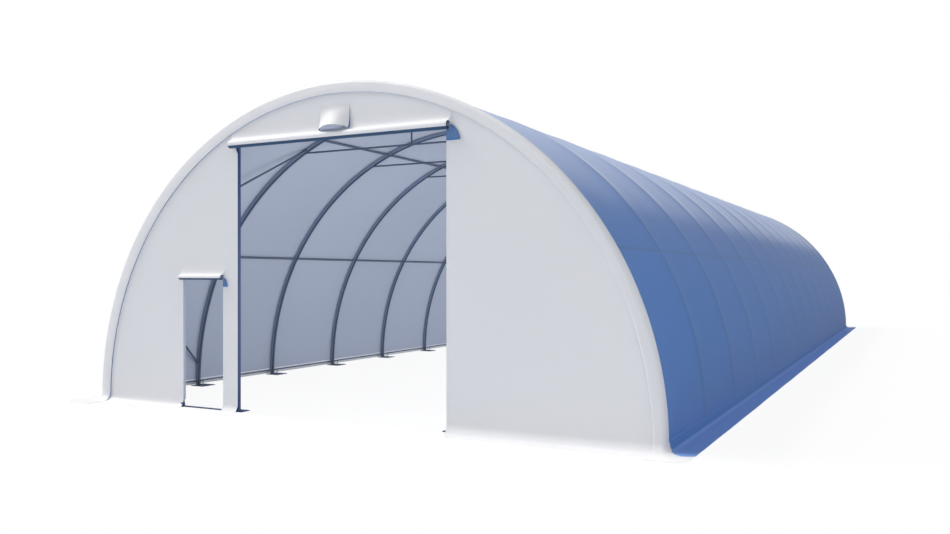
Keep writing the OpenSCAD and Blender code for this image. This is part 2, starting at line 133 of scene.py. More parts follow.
camera_data = bpy.data.cameras.new("camera")
camera_data.sensor_width = 36
camera_data.lens = 32.60
camera_data.shift_y = 0.00848
camera_data.clip_end = 300
camera = add_object("camera", camera_data)
camera.location = (EYE_SIDE, face_y - EYE_AHEAD, EYE_HEIGHT)
camera.rotation_euler = (math.radians(90), 0, math.radians(EYE_TURN))
bpy.context.scene.camera = camera

# -------- materials


def linear(hex_colour):
    """The linear colour of an sRGB hex value."""
    parts = [int(hex_colour[i : i + 2], 16) / 255 for i in (1, 3, 5)]
    return tuple(c / 12.92 if c <= 0.04045 else ((c + 0.055) / 1.055) ** 2.4 for c in parts) + (1.0,)


def new_material(name):
    """A material with only its shader and output, and the node tree to add to."""
    material = bpy.data.materials.new(name)
    material.use_nodes = True
    return material, material.node_tree, material.node_tree.nodes["Principled BSDF"]


def add_node(tree, kind, settings=(), inputs=(), links=()):
    """Adds a node, sets its properties and input values, and links other nodes' outputs to its inputs."""
    node = tree.nodes.new(kind)
    for key, value in dict(settings).items():
        setattr(node, key, value)
    for key, value in dict(inputs).items():
        node.inputs[key].default_value = value
    for key, (source, output) in dict(links).items():
        tree.links.new(source.outputs[output], node.inputs[key])
    return node


def coated_fabric(name, colour, soiled, roughness, sheen=0.0, specular=0.3, lacquer=0.0):
    """PVC-coated polyester sheet. The eye gets a smooth satin face with the ghost of the scrim under it, and
    slightly uneven colour in broad clouds. A sheen veils it palely, and a lacquer glosses it at grazing angles."""
    material, tree, shader = new_material(name)
    place = add_node(tree, "ShaderNodeUVMap", {"uv_map": "cloth_metres"})
    # The scrim's threads are 1.1 mm apart, drawn at 9 mm so that they can show. At a scale of 1 a wave turns
    # through 20 radians in a metre.
    scrim_scale = 2 * math.pi / (9 * MM) / 20
    warp = add_node(tree, "ShaderNodeTexWave", {"bands_direction": "X"},
                    {"Scale": scrim_scale, "Distortion": 0.0}, {"Vector": (place, "UV")})
    weft = add_node(tree, "ShaderNodeTexWave", {"bands_direction": "Y"},
                    {"Scale": scrim_scale, "Distortion": 0.0}, {"Vector": (place, "UV")})
    scrim = add_node(tree, "ShaderNodeMath", {"operation": "MULTIPLY"},
                     links={0: (warp, "Fac"), 1: (weft, "Fac")})
    local = add_node(tree, "ShaderNodeTexCoord")
    # Clouds in the coating are about 1.4 m across, and soft slack creases about 0.5 m.
    clouds = add_node(tree, "ShaderNodeTexNoise", inputs={"Scale": 0.7, "Detail": 3.0, "Roughness": 0.45},
                      links={"Vector": (local, "Object")})
    tone = add_node(tree, "ShaderNodeMix", {"data_type": "RGBA"},
                    {6: linear(colour), 7: linear(soiled)}, {0: (clouds, "Fac")})
    tree.links.new(tone.outputs[2], shader.inputs["Base Color"])
    creases = add_node(tree, "ShaderNodeTexNoise", inputs={"Scale": 2.0, "Detail": 2.0, "Roughness": 0.4},
                       links={"Vector": (local, "Object")})
    soft_bump = add_node(tree, "ShaderNodeBump", inputs={"Strength": 0.05, "Distance": 0.02},
                         links={"Height": (creases, "Fac")})
    bump = add_node(tree, "ShaderNodeBump", inputs={"Strength": 0.05, "Distance": 0.0006},
                    links={"Height": (scrim, "Value"), "Normal": (soft_bump, "Normal")})
    tree.links.new(bump.outputs["Normal"], shader.inputs["Normal"])
    shader.inputs["Roughness"].default_value = roughness
    shader.inputs["IOR"].default_value = 1.5
    shader.inputs["Specular IOR Level"].default_value = specular
    shader.inputs["Sheen Weight"].default_value = sheen
    shader.inputs["Sheen Roughness"].default_value = 0.4
    shader.inputs["Coat Weight"].default_value = lacquer
    shader.inputs["Coat Roughness"].default_value = roughness
    return material


def coated_steel(name, colour, dusty, roughness, painted_shade=None, inner_r=0.0):
    """Powder coat over galvanised steel tube. The eye gets a satin skin with fine orange peel and a duller bloom,
    and painted shade on the faces inside a curve of radius inner_r about the hall's long axis."""
    material, tree, shader = new_material(name)
    local = add_node(tree, "ShaderNodeTexCoord")
    bloom = add_node(tree, "ShaderNodeTexNoise", inputs={"Scale": 2.5, "Detail": 4.0, "Roughness": 0.5},
                     links={"Vector": (local, "Object")})
    tone = add_node(tree, "ShaderNodeMix", {"data_type": "RGBA"},
                    {6: linear(colour), 7: linear(dusty)}, {0: (bloom, "Fac")})
    if painted_shade:
        # Painted shade: points nearer the hall's long axis than inner_r take the darker colour.
        centred = add_node(tree, "ShaderNodeVectorMath", {"operation": "MULTIPLY_ADD"},
                           {1: (1, 0, 1), 2: (0, 0, -leg_h)}, {0: (local, "Object")})
        away = add_node(tree, "ShaderNodeVectorMath", {"operation": "LENGTH"}, links={0: (centred, "Vector")})
        inside = add_node(tree, "ShaderNodeMath", {"operation": "LESS_THAN"}, {1: inner_r}, {0: (away, "Value")})
        tone = add_node(tree, "ShaderNodeMix", {"data_type": "RGBA"}, {7: linear(painted_shade)},
                        {0: (inside, "Value"), 6: (tone, 2)})
    tree.links.new(tone.outputs[2], shader.inputs["Base Color"])
    # Orange peel about 2 mm across, drawn at 12 mm so that it can show.
    peel = add_node(tree, "ShaderNodeTexNoise", inputs={"Scale": 1 / (12 * MM), "Detail": 1.0},
                    links={"Vector": (local, "Object")})
    bump = add_node(tree, "ShaderNodeBump", inputs={"Strength": 0.08, "Distance": 0.001},
                    links={"Height": (peel, "Fac")})
    tree.links.new(bump.outputs["Normal"], shader.inputs["Normal"])
    shader.inputs["Roughness"].default_value = roughness
    shader.inputs["IOR"].default_value = 1.5
    return material


def zinc_steel(name, colour, spangle, roughness):
    """Hot-dip galvanised steel. The eye gets a mottled grey of zinc crystals over a dull metal gloss."""
    material, tree, shader = new_material(name)
    local = add_node(tree, "ShaderNodeTexCoord")
    # Zinc spangle is 5 to 15 mm across.
    crystals = add_node(tree, "ShaderNodeTexVoronoi", inputs={"Scale": 1 / (12 * MM)},
                        links={"Vector": (local, "Object")})
    tone = add_node(tree, "ShaderNodeMix", {"data_type": "RGBA"},
                    {6: linear(colour), 7: linear(spangle)}, {0: (crystals, "Distance")})
    tree.links.new(tone.outputs[2], shader.inputs["Base Color"])
    shader.inputs["Metallic"].default_value = 0.8
    shader.inputs["Roughness"].default_value = roughness
    return material


# Gloss of the roof's lacquered sheets, of the satin white sheets, and of matt faces and linings.
ROOF_GLOSS = {"roughness": 0.34, "sheen": 0.3, "specular": 0.3, "lacquer": 0.35}
WHITE_GLOSS = {"roughness": 0.55, "sheen": 0.05, "specular": 0.2}
MATT = {"roughness": 0.6, "specular": 0.1}

WHITE_SHEET = coated_fabric("white_pvc_coated_polyester", "#E6E7EA", "#E2E3E7", **WHITE_GLOSS)
# The hood's white is the gable's white a touch greyer: painted shade.
HOOD_WHITE_SHADED = coated_fabric("white_pvc_of_the_hood_painted_shade", "#E0E1E4", "#DCDDE1", **WHITE_GLOSS)
BLUE_SHEET = coated_fabric("blue_pvc_coated_polyester", "#2E7BCF", "#2C79CC", **ROOF_GLOSS)
# A darker copy of the cover's blue for the hems: painted shade where the doubled cloth lets less light through.
BLUE_HEM_SHADE = coated_fabric("blue_pvc_hem_painted_shade", "#2D79CB", "#2B77C8", **ROOF_GLOSS)
# A darker copy of the cover's blue: painted shade before the arches and along the side line.
BLUE_SHADE_LINES = coated_fabric("blue_pvc_painted_shade_lines", "#2871BE", "#266FBB", **ROOF_GLOSS)
SKIRT_BLUE_PAINTED_LIGHT = coated_fabric("blue_pvc_ground_skirt_painted_light", "#7B9FE0", "#799DDD", roughness=0.5, specular=0.15)
BLUE_REVERSE = coated_fabric("blue_uncoated_reverse", "#4A6FA8", "#456799", roughness=0.6, sheen=0.15)
BLUE_EAR = coated_fabric("blue_pvc_corner_flap", "#6687B6", "#6283B1", **MATT)
BAND_RETURN_SHADE = coated_fabric("blue_painted_shade_on_band_returns", "#617AAE", "#5F77AA", **MATT)
# Curtain rolls: a face tinted pale blue as painted shade between the turns, and a blue reverse darkened as painted
# shade.
ROLL_FACE_SHADE = coated_fabric("pale_blue_painted_shade_face_of_curtains", "#93A7CC", "#90A3C7", **MATT)
ROLL_BLUE_WITH_SHADE = coated_fabric("blue_reverse_of_curtains_painted_shade", "#3B5472", "#384F6B", **MATT)
PALE_REVERSE = coated_fabric("pale_grey_blue_reverse", "#A9B0BE", "#A6ADBB", **MATT)
# The painted shade on an arch's inner face and rounded corners ends just outside the radius at which its king post
# meets it.
ARCH_STEEL = coated_steel("grey_blue_powder_coated_arches_with_painted_shade", "#7C8AA4", "#75839C", roughness=0.5, painted_shade="#38465D",
                          inner_r=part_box("king_posts")[1].z - leg_h + 16 * MM)
FRAME_STEEL = coated_steel("dark_grey_powder_coated_steel", "#4C5A72", "#475469", roughness=0.5)
POST_STEEL = coated_steel("navy_powder_coated_steel", "#1C3E72", "#1A3A6A", roughness=0.5)
PLUG_PLASTIC = coated_steel("grey_polyethylene_plug", "#8094BA", "#7A8EB2", roughness=0.6)
ZINC = zinc_steel("galvanised_steel", "#9AA1AC", "#7F8792", roughness=0.45)

# -------- helpers


def deselect():
    """Selects nothing."""
    bpy.ops.object.select_all(action="DESELECT")


def select_alone(piece):
    """Selects one piece and makes it the active one."""
    deselect()
    piece.select_set(True)
    bpy.context.view_layer.objects.active = piece


def steps(low, high, count):
    """count + 1 even values from low to high."""
    return [low + (high - low) * i / count for i in range(count + 1)]


def ease(value):
    """A smooth ramp from 0 to 1."""
    value = min(1.0, max(0.0, value))
    return value * value * (3 - 2 * value)


def between(knots, at):
    """Value at a place on a line of (place, value) knots, eased from knot to knot."""
    for (low, a), (high, b) in zip(knots, knots[1:]):
        if at <= high:
            return a + (b - a) * ease((at - low) / (high - low))
    return knots[-1][1]


def thicken(piece, thickness):
    """Gives a sheet its thickness, behind its outside, where the inside cloths then show."""
    solid = piece.modifiers.new("thickness", "SOLIDIFY")
    solid.thickness = thickness
    solid.offset = -1
    solid.use_even_offset = False
    solid.material_offset = 1
    solid.material_offset_rim = 0
    select_alone(piece)
    bpy.ops.object.modifier_apply(modifier="thickness")
    bpy.ops.object.shade_smooth_by_angle(angle=math.radians(38))


def make_sheet(name, rows, cloths, replaces=(), keep=None, zone=None, away_from=(0, 0, -5), thickness=CLOTH):
    """A sheet of cloth from rows of points, with a real thickness behind them.

    rows[i][j] is (x, y, z, u, v) with u and v in metres along the cloth. keep(i, j) says which cells are cloth
    and zone(i, j) which of the outside cloths a cell has. cloths are outside and inside materials in turn, and
    the outside faces away from the point away_from.
    """
    count, width = len(rows), len(rows[0])
    mesh = bpy.data.meshes.new(name)
    cells, zones = [], []
    for i in range(count - 1):
        for j in range(width - 1):
            if keep is None or keep(i, j):
                cells.append((i * width + j, i * width + j + 1, (i + 1) * width + j + 1, (i + 1) * width + j))
                zones.append(zone(i, j) * 2 if zone else 0)
    mesh.from_pydata([p[:3] for row in rows for p in row], [], cells)
    flat = [(p[3], p[4]) for row in rows for p in row]
    layer = mesh.uv_layers.new(name="cloth_metres")
    for loop in mesh.loops:
        layer.data[loop.index].uv = flat[loop.vertex_index]
    for cloth in cloths:
        mesh.materials.append(cloth)
    for face, index in zip(mesh.polygons, zones):
        face.material_index = index
    piece = add_object(name, mesh)
    build = bmesh.new()
    build.from_mesh(mesh)
    bmesh.ops.delete(build, geom=[v for v in build.verts if not v.link_faces], context="VERTS")
    bmesh.ops.remove_doubles(build, verts=build.verts, dist=0.05 * MM)
    build.normal_update()
    centre = Vector(away_from)
    outward = sum(f.normal.dot(f.calc_center_median() - centre) * f.calc_area() for f in build.faces)
    if outward < 0:
        bmesh.ops.reverse_faces(build, faces=build.faces)
    build.to_mesh(mesh)
    build.free()
    thicken(piece, thickness)
    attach(piece, "root")
    if replaces:
        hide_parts(*replaces)
    return piece


def foot_profile(reach, lift, flat_steps=5, bend_steps=10):
    """Outline of a ground flap from its hem up: (distance from the wall, height, length along the cloth,
    and the outward normal as distance and height)."""
    outline = []
    for d in steps(reach, BEND_R, flat_steps)[:-1]:
        outline.append((d, lift, reach - d, 0.0, 1.0))
    for a in steps(math.pi / 2, 0, bend_steps):
        outline.append((BEND_R - BEND_R * math.cos(a), flap_top - (flap_top - lift) * math.sin(a),
                        reach - BEND_R + BEND_R * (math.pi / 2 - a), math.cos(a), math.sin(a)))
    return outline


# -------- cover

# How deep a bay sags, by the angle above the springing: little over the purlins, more between them.
SAG_KNOTS = [(0, 0.0), (15, 0.012), (30, 0.008), (49, 0.024), (67.5, 0.008), (90, 0.014)]
# How flat the middle of a slack bay is: a higher power keeps the sag full until nearer the arches.
SLACKNESS = 3.4
# A line of painted shade along each side lies between these angles, and no even column comes nearer to it, in radians.
SIDE_SHADE_LINE = (29.5, 30.1)
SIDE_SHADE_CLEAR = 0.008
COVER_COLUMNS = 84
# Steps into a bay, finer towards its arches. Painted shade covers the last steps of a bay, from the step given next, up
# to its far arch.
BAY_STEPS = [0, 0.007, 0.018, 0.035, 0.06, 0.1, 0.15, 0.21, 0.29, 0.39, 0.5, 0.61, 0.71, 0.79, 0.85, 0.9, 0.94,
             0.965, 0.982, 0.993]
ARCH_SHADE_START = 0.94
HEM_W = 120 * MM
hem_y = -(face_y + band_wrap + HEM_W)


def sag(degrees, into_bay):
    """How far the cover hangs below its arches: a slack hammock from tube to tube, drawn tight at its ends."""
    contact = arch_half_w / (arch_y[1] - arch_y[0])
    share = min(1.0, max(0.0, (into_bay - contact) / (1 - 2 * contact)))
    return between(SAG_KNOTS, min(degrees, 180 - degrees)) * (1 - abs(2 * share - 1) ** SLACKNESS)


def cover_stations():
    """Places along the building, with how far into its bay each is."""
    start, end = face_y + EDGE_ROUND, -(face_y + EDGE_ROUND)
    stations = [(start, 0.0), (arch_y[-1], 0.0), (end, 0.0)]
    for low, high in zip(arch_y, arch_y[1:]):
        stations += [(low + (high - low) * f, f) for f in BAY_STEPS]
    for y in (-hem_y, hem_y):
        into = (y - arch_y[0]) / (arch_y[1] - arch_y[0])
        stations.append((y, into % 1.0))
    return sorted(stations)


def make_cover():
    """The blue sheet over the whole building, from one ground skirt to the other."""
    start = math.asin((flap_top - leg_h) / cover_r)
    stations = cover_stations()
    side_shade_edges = [math.radians(d) for edge in SIDE_SHADE_LINE for d in (edge, 180 - edge)]
    even = steps(start, math.pi - start, COVER_COLUMNS)
    angles = sorted([a for a in even if min(abs(a - s) for s in side_shade_edges) > SIDE_SHADE_CLEAR] + side_shade_edges)
    middles = [math.degrees(a + b) / 2 for a, b in zip(angles, angles[1:])]
    in_side_shade = [SIDE_SHADE_LINE[0] < min(d, 180 - d) < SIDE_SHADE_LINE[1] for d in middles]
    rows = []
    for y, into_bay in stations:
        row = []
        for a in angles:
            r = cover_r - sag(math.degrees(a), into_bay)
            row.append((r * math.cos(a), y, leg_h + r * math.sin(a), cover_r * a, y))
        rows.append(row)
    # The cover's end strips are hems in the darker hem blue, painted shade.
    in_hem = [abs((a + b) / 2) > hem_y for (a, _), (b, _) in zip(stations, stations[1:])]
    # Painted shade darkens the last steps of each bay, up against its far arch, and a line along each side.
    in_arch_shade = [into_bay >= ARCH_SHADE_START for _, into_bay in stations]
    piece = make_sheet("cover", rows, [BLUE_SHEET, PALE_REVERSE, BLUE_HEM_SHADE, PALE_REVERSE, BLUE_SHADE_LINES, PALE_REVERSE],
                       ["left_side_cover", "left_roof_cover", "right_roof_cover", "right_side_cover"],
                       zone=lambda i, j: 2 if in_side_shade[j] or in_arch_shade[i] else int(in_hem[i]))


make_cover()

# -------- ground skirts along the sides

# Front edge of a skirt, by the distance from the wall: it starts behind the end band and laps over its fan.
SKIRT_EDGE = [(0, 0.172), (0.03, 0.135), (0.075, 0.045), (0.13, -0.035), (0.2, -0.075), (0.27, -0.055), (0.345, -0.005)]
SKIRT_LAP = 25 * MM
# How far a skirt stands off the wall, and how much less it stands off the ground.
SKIRT_OFF = 2.5 * MM
SKIRT_LOW = 2.2 * MM


def make_skirt(name, side, node, edge):
    """The blue skirt along one side: a lap on the wall, a bend, and a strip that lies on the ground."""
    outline = foot_profile(skirt_reach + 12 * MM, CLOTH, flat_steps=6)
    outline.append((0.0, flap_top + SKIRT_LAP, outline[-1][2] + SKIRT_LAP, 1.0, 0.0))
    near = [0, 0.0008, 0.0018, 0.0032, 0.005, 0.0075, 0.011, 0.016, 0.023]
    places = near + steps(0.03, 0.97, 100) + [1 - t for t in reversed(near)]
    rows = []
    for d, z, s, nd, nz in outline:
        front = face_y + between(edge, d)
        row = []
        for t in places:
            y = front + (-2 * front) * t
            from_end = min(y - face_y, -face_y - y)
            over_fan = 1 - ease((from_end - band_wrap) / 0.35)
            off = SKIRT_OFF + (edge_r - cover_r + 1.0 * MM) * over_fan
            loose = 3 * MM * math.sin(2.3 * y + 0.8) * math.sin(0.9 * y) * d / skirt_reach
            x = cover_r + d + off * nd + loose
            row.append((side * x, side * y, z + (off - SKIRT_LOW) * nz, y, s))
        rows.append(row)
    # The strip on the ground is a paler blue than the last steps, which turn up the wall in the cover's own blue:
    # painted light that makes up for the building's shadow on it.
    last_flat = len(outline) - 8
    # The skirt's inside is the white cloth: painted light under its bend, where the floor's shade falls.
    piece = make_sheet(name, rows, [BLUE_SHEET, WHITE_SHEET, SKIRT_BLUE_PAINTED_LIGHT, WHITE_SHEET], [node],
                       zone=lambda i, j: int(i < last_flat))


make_skirt("right_skirt", 1, "right_ground_flap", SKIRT_EDGE)
make_skirt("left_skirt", -1, "left_ground_flap", [(0, 0.172), (0.08, 0.185), (0.345, 0.34)])

# -------- end bands


def fan_reach(x, y, nx, ny):
    """Distance along a direction from the foot of an end band to the edge of its fan on the ground."""
    corner = 200 * MM
    corner_x, corner_y = fan_side - corner, face_y - fan_front + corner
    low, high = 0.0, 1.0
    for _ in range(24):
        mid = (low + high) / 2
        px, py = x + nx * mid, y + ny * mid
        inside = px <= fan_side and py >= face_y - fan_front
        if px > corner_x and py < corner_y:
            inside = math.hypot(px - corner_x, py - corner_y) <= corner
        low, high = (mid, high) if inside else (low, mid)
    return low


# How much narrower or wider the front band runs than its pattern, by the angle from the right springing.
BAND_STRAY = [(0, 0.045), (56, 0.045), (72, 0.038), (88, 0.026), (104, 0.010), (120, -0.006), (136, -0.018),
              (152, -0.028), (180, -0.028)]
# How far a band's fan lies over the skirt's hem.
BAND_LIFT = 2.6 * MM


def band_section():
    """Section of an end band, from its inner return over its face and rounded edge to its hem on the side: (radius,
    distance behind the face, direction in which the foot turns out, depth under the sheet's surface)."""
    turned, bow = 15 * MM, 7 * MM
    section = [(band_inner, 0.0, (0.0, -1.0), depth) for depth in (23 * MM, 19 * MM, turned)]
    for a in (18, 36, 54, 72, 90):
        c = math.radians(a)
        section.append((band_inner + turned * (1 - math.cos(c)), 0.0, (0.0, -1.0), turned * (1 - math.sin(c))))
    for r in steps(band_inner + turned, edge_r - EDGE_ROUND, 6)[1:]:
        outwards = (r - band_inner - turned) / (edge_r - EDGE_ROUND - band_inner - turned)
        section.append((r, 0.0, (0.0, -1.0), bow * outwards ** 2))
    for a in steps(0, math.pi / 2, 12)[1:]:
        section.append((edge_r - EDGE_ROUND * (1 - math.sin(a)), EDGE_ROUND * (1 - math.cos(a)),
                        (math.sin(a), -math.cos(a)), bow * math.cos(a)))
    for y in steps(EDGE_ROUND, band_wrap, 3)[1:]:
        section.append((edge_r, y, (1.0, 0.0), 0.0))
    return section


def band_half(side, line, stray_share):
    """One side of a line along an end band, from its hem on the ground up to the crown: (x, y, z, length)."""
    r, back, (nx, ny), depth = line
    start = math.asin((flap_top - leg_h) / r)
    stray = between(BAND_STRAY, 0 if side > 0 else 180) * stray_share
    foot_x, foot_y = (r + stray) * math.cos(start), face_y + back
    half = []
    for d, z, s, nd, nz in foot_profile(fan_reach(foot_x, foot_y, nx, ny), CLOTH + BAND_LIFT, flat_steps=6):
        sunk = depth * (1 - 0.9 * nz)
        out = d - sunk * nd
        half.append((side * (foot_x + nx * out), foot_y + ny * out, z - sunk * nz, s))
    foot_length = half[-1][3]
    for a in steps(start, math.pi / 2, 60)[1:]:
        degrees = math.degrees(a) if side > 0 else 180 - math.degrees(a)
        at_r = r + between(BAND_STRAY, degrees) * stray_share
        half.append((side * at_r * math.cos(a), face_y + back + depth, leg_h + at_r * math.sin(a),
                     foot_length + edge_r * (a - start)))
    return half


def make_end_band(name, turn):
    """The white band round one end: an inner return, a face, a rounded edge and a return along the side,
    flaring out at both feet in a fan."""
    section = band_section()
    rows, width = [], 0.0
    for index, line in enumerate(section):
        r, back, depth = line[0], line[1], line[3]
        if index:
            before = section[index - 1]
            width += math.hypot(r - before[0], (back + depth) - (before[1] + before[3]))
        # Nearer the outer edge, less of the inner edge's stray is left, and none at the rear.
        left_over = (edge_r - EDGE_ROUND - r) / (edge_r - EDGE_ROUND - band_inner) if turn > 0 and not back else 0.0
        right, left = (band_half(side, line, max(0.0, left_over)) for side in (1, -1))
        total = left[-1][3]
        full = right + [(x, y, z, 2 * total - s) for x, y, z, s in reversed(left[:-1])]
        rows.append([(x * turn, y * turn, z, s, width) for x, y, z, s in full])
    # The first three steps across are the inner return, drawn in a darker blue as painted shade.
    piece = make_sheet(name, rows, [WHITE_SHEET, BLUE_REVERSE, BAND_RETURN_SHADE, BLUE_REVERSE],
                       [name.replace("_sheet", "")], zone=lambda i, j: int(i < 3), away_from=(0, 0, leg_h))


make_end_band("front_end_band_sheet", 1)
make_end_band("rear_end_band_sheet", -1)

# -------- gable sheets


def gable_forward(x, z):
    """How far the front gable's sheet stands out in front of its plane, where it runs over the rolled curtains."""
    forward = 0.0
    for roll in (large_roll, small_roll):
        beyond = max(roll.start - x, x - roll.end, 0.0)
        h = min(1.0, max(0.0, (roll.top + roll.rise - z) / roll.rise))
        spread = 1 - ease(beyond / ((14 + 86 * (1 - h)) * MM))
        if z >= roll.top - 0.05 * MM:
            share = 1 - math.sqrt(max(0.0, 1 - h * h))
        elif beyond > 1 * MM:
            share = 1 - ease((roll.top - z) / (16 * MM))
        else:
            share = 0.0
        forward = max(forward, (roll.radius + ROLL_GAP) * spread * share)
    return forward


# The doubled hems down the sides of the doorways: their width, and how far they stand out.
SIDE_HEM_W = 40 * MM
SIDE_HEM_OUT = 1.5 * MM
# The notch in the pillar's edge: where it begins, and the height over which it deepens.
NOTCH_FOOT = 3.755
NOTCH_TALL = 0.075


def slack(x, z):
    """Slight unevenness of a gable sheet, always to the front."""
    return 1.2 * MM * (1 + math.sin(1.9 * x + 0.7) * math.sin(1.3 * z + 0.4 * x))


def hem_step(x, z):
    """How far the sheet stands out for the doubled hems beside the doorways."""
    for roll in (large_roll, small_roll):
        outside = max(roll.left - x, x - roll.right)
        if -0.1 * MM <= outside <= SIDE_HEM_W + 0.5 * MM and z < roll.z:
            return SIDE_HEM_OUT
    return 0.0


def merged(values, spare):
    """Sorted values, without those of spare that lie too near the others."""
    kept = sorted(set(round(v, 5) for v in values))
    kept += [v for v in spare if min(abs(v - k) for k in kept) > 14 * MM]
    return sorted(kept)


def remap(knots, at):
    """Piecewise straight line through (place, value) knots."""
    for (low, a), (high, b) in zip(knots, knots[1:]):
        if at <= high:
            return a + (b - a) * (at - low) / (high - low)
    return knots[-1][1]


def front_columns():
    """Places across the front gable: the doorways' edges and hems, the window, and even steps between them."""
    hem_end = SIDE_HEM_W + SIDE_HEM_OUT
    marks = [-window_half, window_half]
    for roll in (large_roll, small_roll):
        marks += [roll.left, roll.right, roll.left - SIDE_HEM_W, roll.left - hem_end,
                  roll.right + SIDE_HEM_W, roll.right + hem_end]
        for out in (0, 2, 5, 8.5, 14, 24, 40, 65, 100):
            marks += [roll.start - out * MM, roll.end + out * MM]
    return merged(marks, steps(min(marks) - 0.1, max(marks) + 0.1, 34))


def front_heights():
    """Places up the front gable, close together where its sheet runs out over the rolls."""
    marks = [flap_top, window_low, window_high, NOTCH_FOOT, NOTCH_FOOT + NOTCH_TALL, gable_r + leg_h]
    for roll in (large_roll, small_roll):
        marks += [roll.z, roll.top - 1 * MM] + [roll.top - out * MM for out in (5, 10, 16, 40)]
        marks += [roll.top + roll.rise * t for t in (0, 0.006, 0.024, 0.06, 0.12, 0.2, 0.32, 0.47, 0.65, 0.82, 1)]
    return merged(marks, steps(flap_top, gable_r + leg_h, 44))


def notch(x, z):
    """The pillar's edge is cut away under the end of the large roll, so that the door post shows there."""
    if not NOTCH_FOOT < z < large_roll.top - 0.5 * MM:
        return x
    cut = 30 * MM * min(1.0, (z - NOTCH_FOOT) / NOTCH_TALL)
    near = max(0.0, 1 - max(0.0, large_left - x) / 0.16) if x <= large_left + 0.1 * MM else 0.0
    return x - cut * near


def gable_half(z):
    """Half the width of a gable at a height."""
    return math.sqrt(max(0.0, gable_r ** 2 - (z - leg_h) ** 2))


def make_front_gable():
    """The front gable's white sheet with its doorways and the vent's window, turned out in flaps on the ground."""
    fixed = front_columns()
    side_steps = steps(0, 1, 7)
    heights = front_heights()
    reach = foot_profile(gable_reach, CLOTH + 0.2 * MM)

    def columns(limit):
        """The fixed columns, with even steps from them out to the sheet's edges."""
        left_room, right_room = max(0.0, fixed[0] + limit), max(0.0, limit - fixed[-1])
        left = [-limit + left_room * t for t in side_steps[:-1]]
        right = [limit - right_room * t for t in reversed(side_steps[:-1])]
        return left + fixed + right

    rows, places = [], []
    foot_limit = band_inner + 80 * MM
    for d, z, s, nd, nz in reach[:-1]:
        k = (d / gable_reach) ** 1.3
        # On the ground the flaps' edges beside the doorways run outwards and to the right.
        knots = [(-foot_limit, -foot_limit), (small_left - 0.4, small_left - 0.4),
                 (small_left, small_left + 0.06 * k), (small_right, small_right + 0.16 * k),
                 (large_left, large_left + 0.06 * k), (large_right, large_right + 0.14 * k),
                 (large_right + 0.4, large_right + 0.4), (foot_limit, foot_limit)]
        xs = columns(foot_limit)
        rows.append([(remap(knots, x), gable_y - d - (slack(x, z) + hem_step(x, z)) * nd,
                      z + hem_step(x, z) * nz, x, s) for x in xs])
        places.append((-1.0, xs))
    foot_length = reach[-1][2]
    for z in heights:
        limit = gable_half(z)
        xs = [min(limit, max(-limit, x)) for x in columns(limit)]
        rows.append([(notch(x, z), gable_y - gable_forward(x, z) - slack(x, z) - hem_step(x, z), z, x,
                      foot_length + z - flap_top) for x in xs])
        places.append((z, columns(limit)))

    def keep(i, j):
        """Whether a cell is cloth, and neither doorway nor window."""
        z = (places[i][0] + places[i + 1][0]) / 2
        x = (places[i + 1][1][j] + places[i + 1][1][j + 1]) / 2
        for roll in (large_roll, small_roll):
            if roll.left < x < roll.right and z < roll.top - 0.1 * MM:
                return False
        return not (abs(x) < window_half and window_low < z < window_high)

    piece = make_sheet("front_gable_sheet", rows, [WHITE_SHEET, PALE_REVERSE],
                       ["front_gable_left", "front_gable_over_door", "front_gable_pillar", "front_gable_top",
                        "front_gable_right", "front_ground_flaps"], keep=keep, away_from=(0, 0, 2))


def make_rear_gable():
    """The rear gable's white sheet, closed, turned out on the ground like the front one."""
    across = steps(-1, 1, 40)
    reach = foot_profile(gable_reach, CLOTH + 0.2 * MM)
    foot_length = reach[-1][2]
    rows = []
    for d, z, s, nd, nz in reach[:-1]:
        limit = band_inner + 50 * MM
        rows.append([(-limit * t, -(gable_y - d - slack(limit * t, z) * nd), z, limit * t, s) for t in across])
    for z in steps(flap_top, gable_r + leg_h, 44):
        limit = gable_half(z)
        rows.append([(-limit * t, -(gable_y - slack(limit * t, z)), z, limit * t, foot_length + z - flap_top)
                     for t in across])
    piece = make_sheet("rear_gable_sheet", rows, [WHITE_SHEET, PALE_REVERSE],
                       ["rear_gable", "rear_ground_flap"], away_from=(0, 0, 2))


def make_jamb_turn():
    """The small doorway's left edge of the sheet, turned in round the upright."""
    rows = [[(small_left - 0.6 * MM, gable_y + depth, z, depth, z) for depth in steps(3 * MM, 46 * MM, 3)]
            for z in steps(flap_top, small_roll.z - small_roll.radius - 4 * MM, 12)]
    piece = make_sheet("small_doorway_jamb_turn", rows, [PALE_REVERSE, WHITE_SHEET],
                       away_from=(small_left - 1, 0, 1), thickness=1.2 * MM)


make_front_gable()
make_rear_gable()
make_jamb_turn()

# -------- rolled-up curtains


def make_over_flap(name, roll, down_to):
    """The white sheet that runs on from the gable over the top of a roll and hangs down in front of it."""
    rows = []
    start, end = roll.start - 5 * MM, roll.end + 5 * MM
    turns = steps(97, down_to, 20)
    rounding = [0, 2, 5, 10, 18]
    xs = [start + v * MM for v in rounding]
    xs += steps(start + 50 * MM, end - 50 * MM, 16)
    xs += [end - v * MM for v in reversed(rounding)]
    for degrees in turns:
        a = math.radians(degrees)
        row = []
        for x in xs:
            from_end = min(x - start, end - x)
            drawn_in = 5 * MM * (1 - ease(from_end / (18 * MM))) ** 2
            loose = 0.8 * MM * math.sin(2.1 * x) * max(0.0, (90 - degrees) / 120)
            r = roll.radius + 1.0 * MM - drawn_in + loose
            row.append((x, roll.y - r * math.cos(a), roll.z + r * math.sin(a), x, -roll.radius * a))
        rows.append(row)
    middle = (start + end) / 2
    piece = make_sheet(name, rows, [WHITE_SHEET, BLUE_REVERSE],
                       away_from=(middle, roll.y, roll.z), thickness=1.2 * MM)


